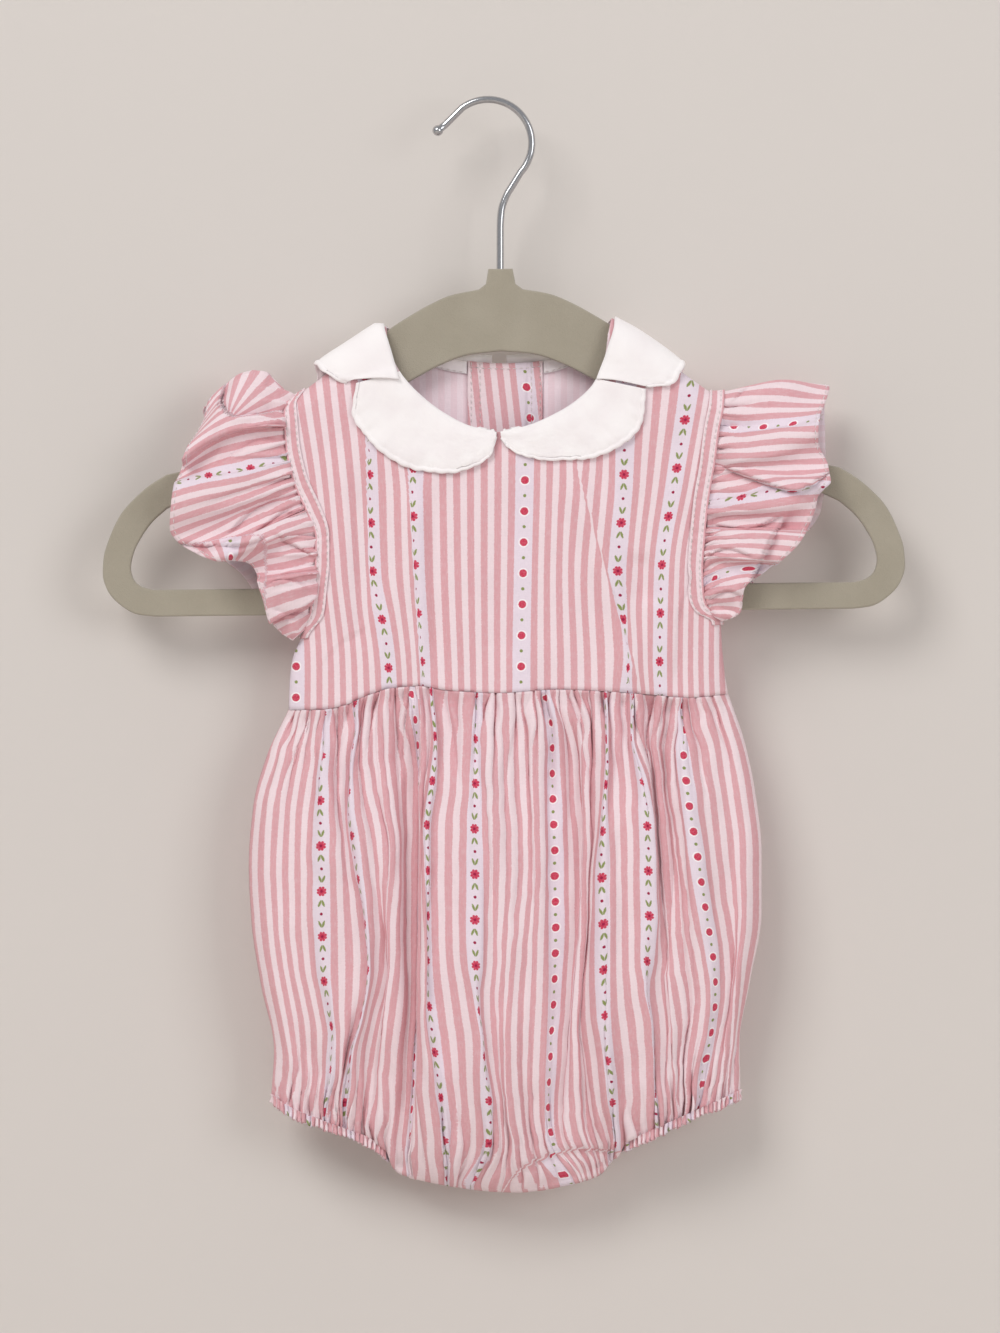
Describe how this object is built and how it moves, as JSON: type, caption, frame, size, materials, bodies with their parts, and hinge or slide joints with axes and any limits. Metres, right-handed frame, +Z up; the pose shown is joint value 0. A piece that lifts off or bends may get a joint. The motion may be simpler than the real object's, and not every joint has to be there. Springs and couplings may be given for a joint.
{
  "type": "baby romper on a child's hanger",
  "caption": "Bubble romper in striped floral cotton with a scalloped round collar and flutter sleeves, hanging on a slim flocked hanger with a wire hook.",
  "frame": {"origin": "the point under the top of the hook's wire where a peg or rod carries the hanger", "axes": "+Z up, +X towards the right of the garment as seen from its front, +Y from the garment's front towards the wall behind it"},
  "size_m": [0.3562, 0.0485, 0.4871],
  "materials": {
    "striped_cotton": "matt plain-weave cotton printed with narrow stripes and small floral ribbons",
    "white_cotton": "matt plain-weave white cotton",
    "flocked_plastic": "short velvet flocking",
    "chrome_wire": "polished plating",
    "button": "plain gloss"
  },
  "bodies": {
    "root": {"armhole_band_left": "striped_cotton", "armhole_band_right": "striped_cotton", "back_bodice_left": "striped_cotton", "back_bodice_right": "striped_cotton", "back_body": "striped_cotton", "button_1": "button", "button_2": "button", "button_3": "button", "collar_back_left": "white_cotton", "collar_back_right": "white_cotton", "collar_front_left": "white_cotton", "collar_front_right": "white_cotton", "front_bodice": "striped_cotton", "front_body": "striped_cotton", "hanger_body": "flocked_plastic", "hanger_hook": "chrome_wire", "leg_casing_left": "striped_cotton", "leg_casing_right": "striped_cotton", "neck_binding_left": "white_cotton", "neck_binding_right": "white_cotton", "placket_facing": "striped_cotton", "sleeve_ruffle_left": "striped_cotton", "sleeve_ruffle_right": "striped_cotton"}
  },
  "joints": []
}
